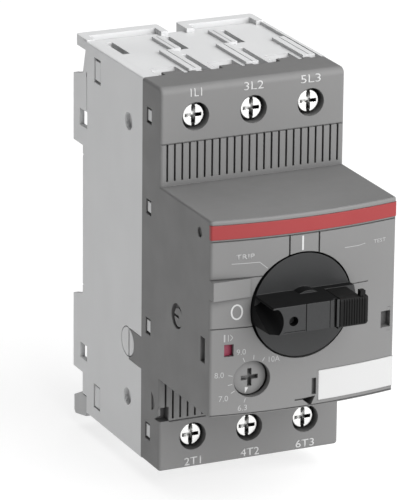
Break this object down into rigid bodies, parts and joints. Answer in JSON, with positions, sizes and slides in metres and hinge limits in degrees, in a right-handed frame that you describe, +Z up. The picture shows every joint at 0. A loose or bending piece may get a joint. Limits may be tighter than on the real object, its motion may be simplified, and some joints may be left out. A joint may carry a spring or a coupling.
{
  "type": "manual motor starter",
  "caption": "Three-pole manual motor starter for a 35 mm rail, with rotary knob, overload setting dial, trip flag and screw terminals.",
  "frame": {"origin": "middle of the rail seat on the back wall, at mid width and on the centre line of the 35 mm rail", "axes": "+Y into the mounting plate, so the operating face looks along -Y; +Z up to the line terminals; +X to the right as seen from the front"},
  "size_m": [0.045, 0.0869, 0.0926],
  "materials": {
    "housing_plastic": "fine matt, light grey",
    "cover_plastic": "fine matt, mid grey",
    "band_plastic": "satin red",
    "label_plastic": "satin white",
    "knob_plastic": "semi-gloss black",
    "grip_plastic": "ridged black",
    "dial_plastic": "fine matt, mid grey",
    "flag_plastic": "satin red",
    "latch_plastic": "matt grey",
    "inner_plastic": "matt dark grey",
    "zinc_steel": "bright zinc plated",
    "plate_steel": "plain sheet",
    "spring_steel": "drawn wire",
    "heater_alloy": "oxidised ribbon",
    "copper": "plain copper"
  },
  "bodies": {
    "case": {"rear_housing": "housing_plastic", "front_cover": "cover_plastic", "header_band": "band_plastic", "label_plate": "label_plastic", "cover_lock_pins": "housing_plastic", "terminal_screws": "zinc_steel", "terminal_clamps": "zinc_steel", "arc_chute_line": "plate_steel", "arc_chute_load": "plate_steel", "mechanism_frame": "plate_steel", "latch_spring": "spring_steel", "line_conductor_1": "copper", "load_conductor_1": "copper", "fixed_contact_1": "copper", "bimetal_1": "plate_steel", "heater_1": "heater_alloy", "magnet_coil_1": "copper", "magnet_yoke_1": "plate_steel", "line_conductor_2": "copper", "load_conductor_2": "copper", "fixed_contact_2": "copper", "bimetal_2": "plate_steel", "heater_2": "heater_alloy", "magnet_coil_2": "copper", "magnet_yoke_2": "plate_steel", "line_conductor_3": "copper", "load_conductor_3": "copper", "fixed_contact_3": "copper", "bimetal_3": "plate_steel", "heater_3": "heater_alloy", "magnet_coil_3": "copper", "magnet_yoke_3": "plate_steel"},
    "knob": {"knob": "knob_plastic", "knob_shaft": "inner_plastic"},
    "lock_slide": {"lock_slide": "grip_plastic"},
    "setting_dial": {"setting_dial": "dial_plastic", "setting_cam": "inner_plastic"},
    "trip_flag": {"trip_flag": "flag_plastic"},
    "toggle_lever": {"toggle_lever": "plate_steel"},
    "latch_lever": {"latch_lever": "plate_steel"},
    "trip_bar": {"trip_bar": "inner_plastic"},
    "contact_carrier": {"contact_carrier": "inner_plastic", "moving_contact_1": "copper", "moving_contact_2": "copper", "moving_contact_3": "copper", "contact_springs": "spring_steel"},
    "plunger_1": {"magnet_plunger_1": "plate_steel"},
    "plunger_2": {"magnet_plunger_2": "plate_steel"},
    "plunger_3": {"magnet_plunger_3": "plate_steel"},
    "rail_latch": {"rail_latch": "latch_plastic"}
  },
  "joints": [
    {"name": "knob_turn", "type": "hinge", "parent": "case", "child": "knob", "pos_m": [-0.0012, -0.05985, -0.0008], "axis": [0, 1, 0], "range_deg": [0, 90]},
    {"name": "lock_slide_pull", "type": "slide", "parent": "knob", "child": "lock_slide", "axis": [1, 0, 0], "range_m": [0, 0.0065]},
    {"name": "dial_turn", "type": "hinge", "parent": "case", "child": "setting_dial", "pos_m": [-0.01287, -0.06485, -0.01665], "axis": [0, 1, 0], "range_deg": [0, 192]},
    {"name": "flag_slide", "type": "slide", "parent": "case", "child": "trip_flag", "axis": [0, 0, 1], "range_m": [-0.003, 0]},
    {"name": "toggle_tilt", "type": "hinge", "parent": "case", "child": "toggle_lever", "pos_m": [0, -0.04285, -0.0001], "axis": [-1, 0, 0], "range_deg": [0, 15]},
    {"name": "carrier_slide", "type": "slide", "parent": "case", "child": "contact_carrier", "axis": [0, 1, 0], "range_m": [0, 0.0034]},
    {"name": "trip_bar_slide", "type": "slide", "parent": "case", "child": "trip_bar", "axis": [1, 0, 0], "range_m": [0, 0.002], "stiffness_N_per_m": 60, "springref_m": -0.0005},
    {"name": "latch_tilt", "type": "hinge", "parent": "case", "child": "latch_lever", "pos_m": [0, -0.04385, -0.0161], "axis": [0, 0, -1], "range_deg": [0, 12]},
    {"name": "rail_latch_slide", "type": "slide", "parent": "case", "child": "rail_latch", "axis": [0, 0, -1], "range_m": [0, 0.003], "stiffness_N_per_m": 600, "springref_m": -0.001, "deforming": ["latch_spring"]},
    {"name": "plunger_1_slide", "type": "slide", "parent": "case", "child": "plunger_1", "axis": [0, 0, -1], "range_m": [0, 0.003], "stiffness_N_per_m": 120, "springref_m": -0.001},
    {"name": "plunger_2_slide", "type": "slide", "parent": "case", "child": "plunger_2", "axis": [0, 0, -1], "range_m": [0, 0.003], "stiffness_N_per_m": 120, "springref_m": -0.001},
    {"name": "plunger_3_slide", "type": "slide", "parent": "case", "child": "plunger_3", "axis": [0, 0, -1], "range_m": [0, 0.003], "stiffness_N_per_m": 120, "springref_m": -0.001}
  ],
  "couplings": [
    {"joint": "toggle_tilt", "follows": "knob_turn", "ratio": 0.1666},
    {"joint": "carrier_slide", "follows": "knob_turn", "m_per_rad": 0.002164},
    {"joint": "latch_tilt", "follows": "trip_bar_slide", "rad_per_m": 104.7}
  ]
}
